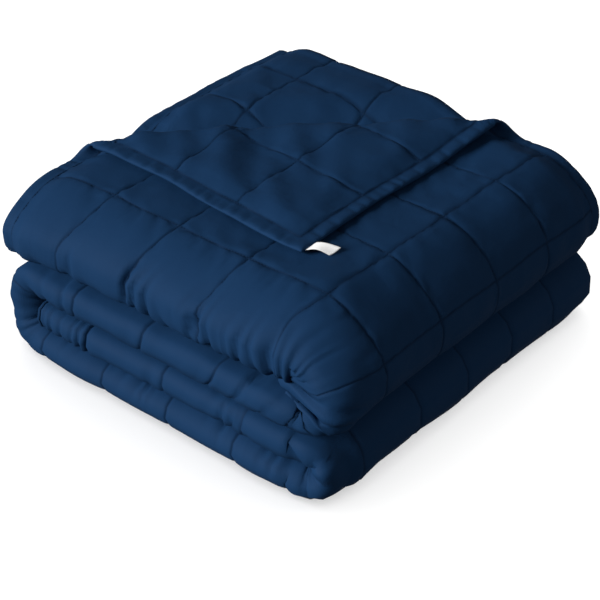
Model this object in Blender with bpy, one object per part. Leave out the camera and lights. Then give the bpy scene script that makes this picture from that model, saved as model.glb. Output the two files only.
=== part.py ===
"""A quilted weighted blanket, folded in thirds and then wound into four runs.

The blanket is one filled sheet, sewn through in squares, with a topstitched hem.
Every point of it is found from its place on the flat blanket:

1. fold_across folds the width in thirds. The outer layer ends in a free edge at
   the right, turns round the side fold at the left into the base layer, and that
   turns round the far fold into the middle layer, whose edge is tucked inside.
2. lay_along lays the folded strip in runs, one on another, joined by wraps.
3. turn_corner folds the free corner of the outer layer back over the top.

While it is shaped, x runs to the right from the seam beside the side fold, y runs
back from the seam above the front wrap, and z is the height above the surface.
"""

import math
from collections import namedtuple

import bmesh
import bpy
from mathutils import Vector

# ---------------------------------------------------------------- blanket, laid flat
SQUARE = 0.100
SQUARES_WIDE = 15
SQUARES_LONG = 20
HEM = 0.019
WIDTH = SQUARES_WIDE * SQUARE + 2 * HEM
LENGTH = SQUARES_LONG * SQUARE + 2 * HEM
HEM_THICKNESS = 0.007
THINNEST = 0.0056            # no seam is pressed thinner than this
SEAM_THICKNESS = 0.45        # thickness at a seam, as a share of the full pocket
POCKET_FULLNESS = 0.6        # lower is a fuller pocket with steeper sides

# ---------------------------------------------------------------- folded in thirds
FREE_EDGE_X = 0.432          # the outer layer's edge
FAR_FOLD_X = 0.425           # where the base layer starts to turn
FAR_FOLD_REACH = 0.010
TUCKED_EDGE_X = -0.042       # the middle layer's edge, inside the side fold
OUTER_END = 0.424            # distances across the flat blanket where each layer ends
SIDE_FOLD_END = 0.576
BASE_END = 1.009
FAR_FOLD_END = 1.041
FAR_FOLD_SQUEEZE = 0.75      # thickness there, as a share
FAR_FOLD_MARGIN = 0.025      # how far to each side of the fold the cloth is squeezed

# ---------------------------------------------------------------- laid in runs
# Heights of the outer, middle and base layers of the strip in each run.
Run = namedtuple("Run", "name outer middle base")
TOP_RUN = Run("top run", 0.2050, 0.1780, 0.1510)
THIRD_RUN = Run("third run", 0.0995, 0.1150, 0.1305)
FLOOR_RUN = Run("floor run", 0.0375, 0.0220, 0.0068)
TUCKED_RUN = Run("tucked run", 0.0530, 0.0685, 0.0840)

# Where each layer starts to turn, and how far it reaches past that.
Wrap = namedtuple("Wrap", "name side outer middle base outer_reach middle_reach base_reach")
UPPER_FRONT_WRAP = Wrap("upper front wrap", -1, 0.005, -0.019, -0.026, 0.085, 0.039, 0.0105)
BACK_WRAP = Wrap("back wrap", 1, 0.362, 0.362, 0.362, 0.0190, 0.0350, 0.0515)
LOWER_FRONT_WRAP = Wrap("lower front wrap", -1, -0.032, -0.034, -0.035, 0.0095, 0.025, 0.040)
WRAP_FULLNESS = 0.84         # below 1 the outermost layer of a wrap is fuller than an ellipse
STRIP_START_Y = 0.424
STRIP_END_Y = 0.363

# Distance along the flat blanket at which each part of the strip ends.
TOP_RUN_END = 0.412
UPPER_WRAP_END = 0.628
THIRD_RUN_END = 0.979
BACK_WRAP_END = 1.114
FLOOR_RUN_END = 1.505
LOWER_WRAP_END = 1.595

# Filled thickness of the three layers along the blanket.
Loft = namedtuple("Loft", "along outer middle base")
LOFTS = (
    Loft(0.000, 0.0225, 0.0220, 0.0220),
    Loft(0.320, 0.0225, 0.0220, 0.0220),
    Loft(0.412, 0.0215, 0.0180, 0.0150),
    Loft(0.520, 0.0200, 0.0150, 0.0115),
    Loft(0.628, 0.0145, 0.0135, 0.0120),
    Loft(0.700, 0.0135, 0.0135, 0.0135),
    Loft(0.900, 0.0135, 0.0135, 0.0135),
    Loft(0.979, 0.0115, 0.0120, 0.0125),
    Loft(1.045, 0.0100, 0.0110, 0.0120),
    Loft(1.114, 0.0115, 0.0120, 0.0125),
    Loft(1.180, 0.0135, 0.0135, 0.0135),
    Loft(1.440, 0.0135, 0.0135, 0.0135),
    Loft(1.505, 0.0115, 0.0130, 0.0140),
    Loft(1.595, 0.0115, 0.0130, 0.0140),
    Loft(1.680, 0.0135, 0.0135, 0.0135),
    Loft(1.950, 0.0135, 0.0135, 0.0135),
    Loft(2.038, 0.0100, 0.0100, 0.0100),
)

# Where the side fold starts, its furthest reach and its half height, along the blanket.
SideFold = namedtuple("SideFold", "along start tip half_height")
SIDE_FOLDS = (
    SideFold(0.000, -0.001, -0.0630, 0.0270),
    SideFold(0.400, -0.001, -0.0630, 0.0270),
    SideFold(0.550, -0.038, -0.0700, 0.0200),
    SideFold(0.650, -0.058, -0.0740, 0.0157),
    SideFold(2.038, -0.058, -0.0740, 0.0157),
)

# How far the inner side of the side fold draws in where the strip is wrapped.
Gather = namedtuple("Gather", "name at half_width depth inner_level")
GATHERS = (
    Gather("upper front wrap", 0.520, 0.140, 0.012, -1),
    Gather("back wrap", 1.046, 0.080, 0.012, 1),
    Gather("lower front wrap", 1.550, 0.080, 0.012, 1),
)
GATHER_CORE = 0.25           # share of its half width over which a gather is at its fullest
GATHER_LEVEL = 0.7           # level in the strip at which it is full, on its inner side
GATHER_FULL_X = -0.045
GATHER_ENDS_X = 0.010

# The back end of the top run hangs over the wrap below it.
END_SAG_FROM_Y = 0.350
END_SAG_TO_Y = 0.432
END_SAG = {"outer": 0.009, "base": 0.018}

# The whole stack settles towards its left side and its front, as a share of its height.
SIDE_SETTLE = 0.085
SIDE_SETTLE_FROM_X = 0.020
SIDE_SETTLE_TO_X = -0.075
FRONT_SETTLE = 0.100
FRONT_SETTLE_FROM_Y = 0.000
FRONT_SETTLE_TO_Y = -0.090

# ---------------------------------------------------------------- corner turned back
CORNER_LINE_END_X = 0.044    # where the fold line leaves the short hem
CORNER_LINE_EDGE_Y = 0.030   # where it leaves the long hem
CORNER_RADIUS_END = 0.0098   # radius of the turn at the short hem
CORNER_RADIUS_EDGE = 0.0125  # radius of the turn at the long hem
CORNER_REST = 0.0190         # height at which it lies over the layer below
CORNER_REST_FROM = 0.070     # distance past the turn where it has come down to that
CORNER_HEM_DROOP = 0.0030    # how much lower its hem lies
CORNER_STRETCH = 1.070
CORNER_SKEW = 0.055          # how far it is pulled along the fold line as it lies back
CORNER_THICKNESS = 0.56      # of the pocket's full thickness, past the fold line
OPEN_LOFT = 0.0310           # how far the middle layer swells where it is uncovered
OPEN_LOFT_FROM = 0.018
OPEN_LOFT_TO = 0.105
OPEN_LOFT_BASE = 0.6         # of that, for the base layer
OPEN_LOFT_END = 0.85         # of that, at the back end
OPEN_THICKNESS = 1.35

# ---------------------------------------------------------------- mesh
# Divisions of each square, across and along the blanket.
CELLS_ACROSS = (3, 3, 3, 3, 5, 4, 2, 2, 2, 2, 2, 2, 2, 2, 2)
CELLS_ALONG = (3, 3, 3, 3, 5, 5, 2, 2, 2, 4, 5, 2, 2, 2, 3, 5, 2, 2, 2, 2)
FAR_FOLD_LINES = (BASE_END, 1.030, FAR_FOLD_END)
CORNER_RING_LINES = 5        # extra grid lines round the corner's turn
LINES_APART = 0.004          # an extra line nearer than this to another is left out
STEP = 0.0005                # distance between samples when a normal is measured
FLAT_BELOW = 0.0042          # the underside below this height is pressed flat

# ---------------------------------------------------------------- label
LABEL_LENGTH = 0.029
LABEL_WIDTH = 0.021
LABEL_THICKNESS = 0.0012
LABEL_STEPS = 10
LABEL_HEADING = math.radians(-62.0)
LABEL_FROM_TIP = 0.013       # along the hem, from the turned corner's tip
LABEL_CLEARANCE = 0.0015     # between the label and the hem that it is sewn into
LABEL_RISE = 0.004
LABEL_DROP = 0.005

# ---------------------------------------------------------------- finish
NAVY = (0.012, 0.040, 0.105, 1.0)
WHITE = (0.80, 0.80, 0.79, 1.0)

# Centre of the folded blanket's footprint, which becomes the origin.
CENTRE_X = 0.1809
CENTRE_Y = 0.1702


def smooth(value, low, high):
    """Ease from 0 at low to 1 at high."""
    t = min(max((value - low) / (high - low), 0.0), 1.0)
    return t * t * (3.0 - 2.0 * t)


def mix(start, end, share):
    return start + (end - start) * share


def at_level(level, outer, middle, base):
    """Value at a level of the strip: 1 is the outer layer, 0 the middle, -1 the base."""
    return middle + 0.5 * (outer - base) * level + (0.5 * (outer + base) - middle) * level ** 2


def row_at(rows, along):
    """The row of a table at this distance along the blanket, eased between its rows."""
    for first, second in zip(rows, rows[1:]):
        if along <= second.along:
            share = smooth(along, first.along, second.along)
            return [mix(p, q, share) for p, q in zip(first[1:], second[1:])]
    return list(rows[-1][1:])


# ---------------------------------------------------------------- the folds


def side_fold(distance, along):
    """A point of the side fold, at this distance into its share of the width."""
    start, tip, half_height = row_at(SIDE_FOLDS, along)
    reach = start - tip
    straight = -start
    arc = math.pi * math.sqrt((reach ** 2 + half_height ** 2) / 2)
    travelled = distance / (SIDE_FOLD_END - OUTER_END) * (2 * straight + arc)
    if travelled < straight:
        return -travelled, 1.0
    if travelled > straight + arc:
        return start + (travelled - straight - arc), -1.0
    angle = math.pi * (travelled - straight) / arc
    return start - reach * math.sin(angle), math.cos(angle)


def fold_across(across, along):
    """Fold the width in thirds: x and the level in the strip."""
    if across <= OUTER_END:
        return FREE_EDGE_X * (1.0 - across / OUTER_END), 1.0
    if across <= SIDE_FOLD_END:
        return side_fold(across - OUTER_END, along)
    if across <= BASE_END:
        return FAR_FOLD_X * (across - SIDE_FOLD_END) / (BASE_END - SIDE_FOLD_END), -1.0
    if across <= FAR_FOLD_END:
        angle = math.pi * (across - BASE_END) / (FAR_FOLD_END - BASE_END)
        return FAR_FOLD_X + FAR_FOLD_REACH * math.sin(angle), -0.5 - 0.5 * math.cos(angle)
    share = (across - FAR_FOLD_END) / (WIDTH - FAR_FOLD_END)
    return mix(FAR_FOLD_X, TUCKED_EDGE_X, share), 0.0


def turn_y(wrap, level):
    return at_level(level, wrap.outer, wrap.middle, wrap.base)


def height(run, level):
    return at_level(level, run.outer, run.middle, run.base)


def in_run(run, level, y_from, y_to, share):
    return mix(y_from, y_to, share), height(run, level)


def in_wrap(wrap, run_before, run_after, level, share):
    """Half an ellipse that carries one layer from one run into the next."""
    before, after = height(run_before, level), height(run_after, level)
    reach = at_level(level, wrap.outer_reach, wrap.middle_reach, wrap.base_reach)
    longest = max(wrap.outer_reach, wrap.base_reach)
    power = mix(1.0, WRAP_FULLNESS, reach / longest)
    angle = math.pi * share
    turn = math.copysign(abs(math.cos(angle)) ** power, math.cos(angle))
    y = turn_y(wrap, level) + wrap.side * reach * math.sin(angle) ** power
    return y, 0.5 * (before + after) + 0.5 * (before - after) * turn


def lay_along(along, level):
    """Lay the strip in runs and wraps: y and z."""
    front = turn_y(UPPER_FRONT_WRAP, level)
    back = turn_y(BACK_WRAP, level)
    low_front = turn_y(LOWER_FRONT_WRAP, level)
    if along <= TOP_RUN_END:
        return in_run(TOP_RUN, level, STRIP_START_Y, front, along / TOP_RUN_END)
    if along <= UPPER_WRAP_END:
        share = (along - TOP_RUN_END) / (UPPER_WRAP_END - TOP_RUN_END)
        return in_wrap(UPPER_FRONT_WRAP, TOP_RUN, THIRD_RUN, level, share)
    if along <= THIRD_RUN_END:
        share = (along - UPPER_WRAP_END) / (THIRD_RUN_END - UPPER_WRAP_END)
        return in_run(THIRD_RUN, level, front, back, share)
    if along <= BACK_WRAP_END:
        share = (along - THIRD_RUN_END) / (BACK_WRAP_END - THIRD_RUN_END)
        return in_wrap(BACK_WRAP, THIRD_RUN, FLOOR_RUN, level, share)
    if along <= FLOOR_RUN_END:
        share = (along - BACK_WRAP_END) / (FLOOR_RUN_END - BACK_WRAP_END)
        return in_run(FLOOR_RUN, level, back, low_front, share)
    if along <= LOWER_WRAP_END:
        share = (along - FLOOR_RUN_END) / (LOWER_WRAP_END - FLOOR_RUN_END)
        return in_wrap(LOWER_FRONT_WRAP, FLOOR_RUN, TUCKED_RUN, level, share)
    share = (along - LOWER_WRAP_END) / (LENGTH - LOWER_WRAP_END)
    return in_run(TUCKED_RUN, level, low_front, STRIP_END_Y, share)


def gathered(x, along, level):
    """Draw the inner side of the side fold in, where the strip is wrapped."""
    for gather in GATHERS:
        core = GATHER_CORE * gather.half_width
        near = 1.0 - smooth(abs(along - gather.at), core, gather.half_width)
        inner = smooth(level * gather.inner_level, -GATHER_LEVEL, GATHER_LEVEL)
        edge = 1.0 - smooth(x, GATHER_FULL_X, GATHER_ENDS_X)
        x += gather.depth * near * inner * edge
    return x


# ---------------------------------------------------------------- the turned corner
LINE_START = Vector((CORNER_LINE_END_X, STRIP_START_Y, 0.0))
LINE_END = Vector((FREE_EDGE_X, CORNER_LINE_EDGE_Y, 0.0))
LINE_DIRECTION = (LINE_END - LINE_START).normalized()
LINE_NORMAL = Vector((-LINE_DIRECTION.y, LINE_DIRECTION.x, 0.0))


def past_line(x, y):
    """Distance past the corner's fold line, towards the free corner."""
    return (Vector((x, y, 0.0)) - LINE_START).dot(LINE_NORMAL)


def turn_corner(point):
    """Roll what lies past the fold line over, and lay it back on the top."""
    distance = past_line(point.x, point.y)
    if distance <= 0.0:
        return point
    share = (point - LINE_START).dot(LINE_DIRECTION) / (LINE_END - LINE_START).length
    radius = mix(CORNER_RADIUS_END, CORNER_RADIUS_EDGE, min(max(share, 0.0), 1.0))
    foot = point - LINE_NORMAL * distance
    if distance < math.pi * radius:
        angle = distance / radius
        out = LINE_NORMAL * radius * math.sin(angle)
        return foot + out + Vector((0.0, 0.0, radius * (1.0 - math.cos(angle))))
    back = (distance - math.pi * radius) * CORNER_STRETCH
    rest = mix(2.0 * radius, CORNER_REST, smooth(back, 0.0, CORNER_REST_FROM))
    to_hem = min(FREE_EDGE_X - point.x, STRIP_START_Y - point.y)
    rest -= CORNER_HEM_DROOP * (1.0 - smooth(to_hem, 0.5 * HEM, 2.0 * HEM))
    foot -= LINE_DIRECTION * back * CORNER_SKEW
    return foot - LINE_NORMAL * back + Vector((0.0, 0.0, rest))


def top_run_lift(point, level):
    """The top run swells where the turned corner uncovers it, and sags at its end."""
    swell = open_swell(point.x, point.y, level)
    at_end = smooth(point.y, END_SAG_FROM_Y, END_SAG_TO_Y)
    lift = OPEN_LOFT * swell * mix(OPEN_LOFT_BASE, 1.0, min(level + 1.0, 1.0))
    sag = mix(END_SAG["base"], END_SAG["outer"], 0.5 * (level + 1.0))
    return lift * mix(1.0, OPEN_LOFT_END, at_end) - sag * (1.0 - swell) * at_end


def open_swell(x, y, level):
    """How far a lower layer of the top run is uncovered, from 0 to 1."""
    if level > 0.0:
        return 0.0
    return smooth(past_line(x, y), OPEN_LOFT_FROM, OPEN_LOFT_TO)


def settled(point):
    """Let the stack settle towards its left side and its front."""
    side = smooth(-point.x, -SIDE_SETTLE_FROM_X, -SIDE_SETTLE_TO_X)
    front = smooth(-point.y, -FRONT_SETTLE_FROM_Y, -FRONT_SETTLE_TO_Y)
    point.z *= (1.0 - SIDE_SETTLE * side) * (1.0 - FRONT_SETTLE * front)
    return point


def middle_of_sheet(across, along):
    """Where the middle of the sheet lies, for a place on the flat blanket."""
    x, level = fold_across(across, along)
    y, z = lay_along(along, level)
    point = Vector((gathered(x, along, level), y, z))
    if along <= TOP_RUN_END:
        if across <= OUTER_END:
            point = turn_corner(point)
        point.z += top_run_lift(point, level)
    return settled(point)


# ---------------------------------------------------------------- thickness


def pocket_rise(distance):
    """0 on a seam and 1 in the middle of a square."""
    return abs(math.sin(math.pi * (distance - HEM) / SQUARE)) ** POCKET_FULLNESS


def thickness(across, along):
    """Thickness of the filled sheet, pinched at its seams and thin at its hem."""
    edge = min(across, WIDTH - across, along, LENGTH - along)
    if edge < HEM - STEP:
        return HEM_THICKNESS
    x, level = fold_across(across, along)
    loft = at_level(level, *row_at(LOFTS, along))
    if along <= TOP_RUN_END:
        y = lay_along(along, level)[0]
        if across <= OUTER_END and past_line(x, y) > 0.0:
            loft *= CORNER_THICKNESS
        loft *= mix(1.0, OPEN_THICKNESS, open_swell(x, y, level))
    if BASE_END - FAR_FOLD_MARGIN < across < FAR_FOLD_END + FAR_FOLD_MARGIN:
        loft *= FAR_FOLD_SQUEEZE
    rise = pocket_rise(across) * pocket_rise(along)
    return max(loft * mix(SEAM_THICKNESS, 1.0, rise), THINNEST)


def sheet_normal(across, along):
    """Unit normal of the sheet, on the side that shows on top of the outer layer."""
    before = middle_of_sheet(max(across - STEP, 0.0), along)
    after = middle_of_sheet(min(across + STEP, WIDTH), along)
    nearer = middle_of_sheet(across, max(along - STEP, 0.0))
    further = middle_of_sheet(across, min(along + STEP, LENGTH))
    return (after - before).cross(further - nearer).normalized()


# ---------------------------------------------------------------- the mesh


def grid_lines(cells, extra=()):
    """Grid lines of the flat blanket: its hems, and each square in equal parts."""
    lines = [0.0]
    for square, count in enumerate(cells):
        lines += [HEM + SQUARE * (square + part / count) for part in range(count)]
    end = HEM + SQUARE * len(cells)
    lines += [end, end + HEM]
    gaps = {line: min(abs(line - other) for other in lines) for line in extra}
    return sorted(lines + [line for line in extra if gaps[line] >= LINES_APART])


def flat_blanket():
    """The flat blanket as a grid, with extra lines round the turned corner."""
    flat = bmesh.new()
    across_lines = grid_lines(CELLS_ACROSS, FAR_FOLD_LINES)
    along_lines = grid_lines(CELLS_ALONG)
    grid = [[flat.verts.new((a, b, 0.0)) for a in across_lines] for b in along_lines]
    for row, next_row in zip(grid, grid[1:]):
        for i in range(len(across_lines) - 1):
            flat.faces.new((row[i], row[i + 1], next_row[i + 1], next_row[i]))
    line_on_blanket = on_flat_blanket(LINE_START)
    run_on_blanket = on_flat_blanket(LINE_END) - line_on_blanket
    normal_on_blanket = Vector((-run_on_blanket.y, run_on_blanket.x, 0.0)).normalized()
    turn_length = math.pi * 0.5 * (CORNER_RADIUS_END + CORNER_RADIUS_EDGE)
    for number in range(CORNER_RING_LINES + 1):
        offset = turn_length * number / CORNER_RING_LINES
        place = line_on_blanket + normal_on_blanket * offset
        corner = [f for f in flat.faces if in_corner_region(f)]
        edges = {e for f in corner for e in f.edges}
        verts = {v for f in corner for v in f.verts}
        bmesh.ops.bisect_plane(flat, geom=corner + list(edges) + list(verts), dist=1e-5,
                               plane_co=place, plane_no=normal_on_blanket)
    bmesh.ops.triangulate(flat, faces=[f for f in flat.faces if len(f.verts) > 4])
    return flat


def on_flat_blanket(point):
    """Where a place on top of the stack lies on the flat blanket."""
    across = OUTER_END * (1.0 - point.x / FREE_EDGE_X)
    front = turn_y(UPPER_FRONT_WRAP, 1.0)
    along = TOP_RUN_END * (STRIP_START_Y - point.y) / (STRIP_START_Y - front)
    return Vector((across, along, 0.0))


def in_corner_region(face):
    centre = face.calc_center_median()
    return centre.x < OUTER_END and centre.y < TOP_RUN_END


def pressed(point):
    """Press the underside flat where it lies on the surface."""
    if point.z < FLAT_BELOW:
        point.z = 0.0
    return point


def blanket_mesh():
    """Give the flat blanket its folds and its thickness, as one closed shell."""
    flat = flat_blanket()
    shell = bmesh.new()
    faces_up, faces_down = {}, {}
    for vert in flat.verts:
        across, along = vert.co.x, vert.co.y
        middle = middle_of_sheet(across, along)
        offset = sheet_normal(across, along) * 0.5 * thickness(across, along)
        faces_up[vert] = shell.verts.new(placed(pressed(middle + offset)))
        faces_down[vert] = shell.verts.new(placed(pressed(middle - offset)))
    for face in flat.faces:
        shell.faces.new([faces_up[v] for v in face.verts])
        shell.faces.new([faces_down[v] for v in reversed(face.verts)])
    for edge in flat.edges:
        if edge.is_boundary:
            first, second = rim_order(edge)
            rim = (faces_up[second], faces_up[first], faces_down[first], faces_down[second])
            shell.faces.new(rim)
    flat.free()
    bmesh.ops.triangulate(shell, faces=shell.faces[:])
    bmesh.ops.recalc_face_normals(shell, faces=shell.faces[:])
    return shell


def rim_order(edge):
    """The two ends of a border edge, in the order in which its face goes round them."""
    loop = edge.link_loops[0]
    return loop.vert, loop.link_loop_next.vert


def placed(point):
    """From the shaping frame to the part's own frame."""
    return point - Vector((CENTRE_X, CENTRE_Y, 0.0))


def label_mesh():
    """A bare strip sewn in at the turned corner's tip, curving up and over."""
    shell = bmesh.new()
    hem_place = middle_of_sheet(0.0, 0.0)
    sideways = (middle_of_sheet(0.0, LABEL_WIDTH) - hem_place).normalized()
    outwards = Vector((sideways.y, -sideways.x, 0.0)).normalized()
    ahead = Vector((math.cos(LABEL_HEADING), math.sin(LABEL_HEADING), 0.0))
    root = hem_place + sideways * LABEL_FROM_TIP + outwards * LABEL_CLEARANCE
    rings = []
    for step in range(LABEL_STEPS + 1):
        share = step / LABEL_STEPS
        rise = LABEL_RISE * math.sin(math.pi * share) - LABEL_DROP * share
        centre = root + ahead * LABEL_LENGTH * share + Vector((0.0, 0.0, rise))
        ring = []
        for side, level in ((-1, -1), (1, -1), (1, 1), (-1, 1)):
            corner = centre + sideways * side * LABEL_WIDTH / 2
            corner += Vector((0.0, 0.0, level * LABEL_THICKNESS / 2))
            ring.append(shell.verts.new(placed(corner)))
        rings.append(ring)
    for ring, after in zip(rings, rings[1:]):
        for i in range(4):
            shell.faces.new((ring[i], ring[(i + 1) % 4], after[(i + 1) % 4], after[i]))
    shell.faces.new(rings[0])
    shell.faces.new(rings[-1])
    bmesh.ops.triangulate(shell, faces=shell.faces[:])
    bmesh.ops.recalc_face_normals(shell, faces=shell.faces[:])
    return shell


# ---------------------------------------------------------------- objects


def fabric(name, colour, roughness):
    material = bpy.data.materials.new(name)
    material.use_nodes = True
    shader = material.node_tree.nodes["Principled BSDF"]
    shader.inputs["Base Color"].default_value = colour
    shader.inputs["Roughness"].default_value = roughness
    shader.inputs["Metallic"].default_value = 0.0
    return material


def add_object(name, shell, material):
    mesh = bpy.data.meshes.new(name)
    shell.to_mesh(mesh)
    shell.free()
    mesh.materials.append(material)
    mesh.shade_smooth()
    bpy.context.scene.collection.objects.link(bpy.data.objects.new(name, mesh))


def main():
    for old in list(bpy.data.objects):
        bpy.data.objects.remove(old)
    add_object("blanket", blanket_mesh(), fabric("navy_cover", NAVY, 0.75))
    add_object("care_label", label_mesh(), fabric("white_label", WHITE, 0.70))


main()
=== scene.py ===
"""A quilted weighted blanket, folded, with one corner turned back.

The blanket is one filled sheet. Every point of it is found from its place on the flat
blanket: the width is folded in thirds, the strip is laid in runs joined by wraps, and
the free corner is turned back over the top. Its stitching follows the seams that show.
"""

import math
from bisect import bisect_left
from collections import defaultdict, namedtuple

import bmesh
import bpy
import numpy as np
from bpy.props import FloatProperty, FloatVectorProperty, IntProperty, PointerProperty
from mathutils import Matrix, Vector, noise
from mathutils.bvhtree import BVHTree


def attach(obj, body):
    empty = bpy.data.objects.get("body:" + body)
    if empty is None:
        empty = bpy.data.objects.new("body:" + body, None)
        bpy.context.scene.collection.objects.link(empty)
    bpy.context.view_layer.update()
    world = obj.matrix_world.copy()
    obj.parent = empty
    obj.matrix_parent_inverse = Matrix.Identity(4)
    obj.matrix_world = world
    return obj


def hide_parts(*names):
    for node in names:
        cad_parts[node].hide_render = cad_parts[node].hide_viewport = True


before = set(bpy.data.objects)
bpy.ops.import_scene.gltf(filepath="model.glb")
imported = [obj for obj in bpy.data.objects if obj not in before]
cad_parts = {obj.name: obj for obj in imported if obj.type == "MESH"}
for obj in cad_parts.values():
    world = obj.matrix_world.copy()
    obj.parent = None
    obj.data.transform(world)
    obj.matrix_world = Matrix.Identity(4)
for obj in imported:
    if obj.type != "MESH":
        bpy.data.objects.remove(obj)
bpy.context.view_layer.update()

bl_info = {
    "name": "Folded weighted blanket",
    "version": (1, 0, 0),
    "blender": (4, 5, 0),
    "location": "3D View > Sidebar > Blanket",
    "description": "Builds a folded quilted blanket, its stitching, its label "
                   "and a plain stage",
    "category": "Object",
}

# ---------------------------------------------------------------- blanket, laid flat
SQUARE = 0.100
SQUARES_WIDE = 15
SQUARES_LONG = 20
HEM = 0.019
WIDTH = SQUARES_WIDE * SQUARE + 2 * HEM
LENGTH = SQUARES_LONG * SQUARE + 2 * HEM

# ---------------------------------------------------------------- folded in thirds
FREE_EDGE_X = 0.432
FAR_FOLD_X = 0.425
FAR_FOLD_REACH = 0.010
TUCKED_EDGE_X = -0.042
OUTER_END = 0.424
SIDE_FOLD_END = 0.576
BASE_END = 1.009
FAR_FOLD_END = 1.041
FAR_FOLD_SQUEEZE = 0.75
FAR_FOLD_MARGIN = 0.025

# ---------------------------------------------------------------- laid in runs
Run = namedtuple("Run", "name outer middle base")
TOP_RUN = Run("top run", 0.2050, 0.1780, 0.1510)
THIRD_RUN = Run("third run", 0.0995, 0.1150, 0.1305)
FLOOR_RUN = Run("floor run", 0.0375, 0.0220, 0.0068)
TUCKED_RUN = Run("tucked run", 0.0530, 0.0685, 0.0840)

Wrap = namedtuple("Wrap", "name side outer middle base outer_reach middle_reach base_reach")
UPPER_FRONT_WRAP = Wrap("upper front wrap", -1, 0.005, -0.019, -0.026, 0.085, 0.039, 0.0105)
BACK_WRAP = Wrap("back wrap", 1, 0.362, 0.362, 0.362, 0.0190, 0.0350, 0.0515)
LOWER_FRONT_WRAP = Wrap(
    "lower front wrap", -1, -0.032, -0.034, -0.035, 0.0095, 0.025, 0.040)
WRAP_FULLNESS = 0.84
STRIP_START_Y = 0.424
STRIP_END_Y = 0.363

TOP_RUN_END = 0.412
UPPER_WRAP_END = 0.628
THIRD_RUN_END = 0.979
BACK_WRAP_END = 1.114
FLOOR_RUN_END = 1.505
LOWER_WRAP_END = 1.595

Loft = namedtuple("Loft", "along outer middle base")
LOFTS = (
    Loft(0.000, 0.0225, 0.0220, 0.0220),
    Loft(0.320, 0.0225, 0.0220, 0.0220),
    Loft(0.412, 0.0215, 0.0180, 0.0150),
    Loft(0.520, 0.0200, 0.0150, 0.0115),
    Loft(0.628, 0.0145, 0.0135, 0.0120),
    Loft(0.700, 0.0135, 0.0135, 0.0135),
    Loft(0.900, 0.0135, 0.0135, 0.0135),
    Loft(0.979, 0.0115, 0.0120, 0.0125),
    Loft(1.045, 0.0100, 0.0110, 0.0120),
    Loft(1.114, 0.0115, 0.0120, 0.0125),
    Loft(1.180, 0.0135, 0.0135, 0.0135),
    Loft(1.440, 0.0135, 0.0135, 0.0135),
    Loft(1.505, 0.0115, 0.0130, 0.0140),
    Loft(1.595, 0.0115, 0.0130, 0.0140),
    Loft(1.680, 0.0135, 0.0135, 0.0135),
    Loft(1.950, 0.0135, 0.0135, 0.0135),
    Loft(2.038, 0.0100, 0.0100, 0.0100),
)

SideFold = namedtuple("SideFold", "along start tip half_height")
SIDE_FOLDS = (
    SideFold(0.000, -0.001, -0.0630, 0.0270),
    SideFold(0.400, -0.001, -0.0630, 0.0270),
    SideFold(0.550, -0.038, -0.0700, 0.0200),
    SideFold(0.650, -0.058, -0.0740, 0.0157),
    SideFold(2.038, -0.058, -0.0740, 0.0157),
)

# Along the blanket, how square the inner half of its side fold is: below 1 is squarer.
SIDE_SQUARENESS = ((1.000, 1.120, 1.490, 1.600), (0.45, 1.20, 1.20, 0.50))

Gather = namedtuple("Gather", "name at half_width depth inner_level")
GATHERS = (
    Gather("upper front wrap", 0.520, 0.140, 0.012, -1),
    Gather("back wrap", 1.046, 0.080, 0.012, 1),
    Gather("lower front wrap", 1.550, 0.080, 0.012, 1),
)
GATHER_CORE = 0.25
GATHER_LEVEL = 0.7
GATHER_FULL_X = -0.045
GATHER_ENDS_X = 0.010

# Deep folds in the side of each wrap, and how far its inner turn has slid back.
Tuck = namedtuple("Tuck", "name at reach slid depth pitch")
TUCKS = (
    Tuck("upper front wrap", 0.500, 0.120, 0.042, 0.0046, 0.047),
    Tuck("back wrap", 1.046, 0.095, 0.000, 0.0020, 0.040),
    Tuck("lower front wrap", 1.548, 0.085, 0.006, 0.0055, 0.026),
)
TUCK_FULL_X = -0.045
TUCK_ENDS_X = -0.015
TUCK_SLIDES = (-0.3, 0.9)    # levels over which the inner turn comes to slide
TUCK_DEEPENS = (-0.6, 0.3)   # and over which the folds grow deep
TUCK_STRAY = 0.5
TUCK_STRAY_RATE = 15.0

END_SAG_FROM_Y = 0.350
END_SAG_TO_Y = 0.432
END_SAG = {"outer": 0.009, "base": 0.018}

# The lower layers of the top run droop over its side, onto the run below.
EDGE_DROOP = 0.0040
EDGE_DROOP_FROM_X = 0.015
EDGE_DROOP_TO_X = 0.060
EDGE_DROOP_FADES = (0.400, 0.520)

SIDE_SETTLE = 0.085
SIDE_SETTLE_FROM_X = 0.020
SIDE_SETTLE_TO_X = -0.075
FRONT_SETTLE = 0.100
FRONT_SETTLE_FROM_Y = 0.000
FRONT_SETTLE_TO_Y = -0.090

# ---------------------------------------------------------------- corner turned back
CORNER_LINE_END_X = 0.044
CORNER_LINE_EDGE_Y = 0.030
CORNER_RADIUS_END = 0.0098
CORNER_RADIUS_EDGE = 0.0125
CORNER_REST = 0.0190
CORNER_REST_FROM = 0.070
CORNER_HEM_DROOP = 0.0030
CORNER_STRETCH = 1.070
CORNER_SKEW = 0.055
CORNER_THICKNESS = 0.56
OPEN_LOFT = 0.0310
OPEN_LOFT_FROM = 0.018
OPEN_LOFT_TO = 0.105
OPEN_LOFT_BASE = 0.6
OPEN_LOFT_END = 0.85
OPEN_THICKNESS = 1.35

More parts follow.
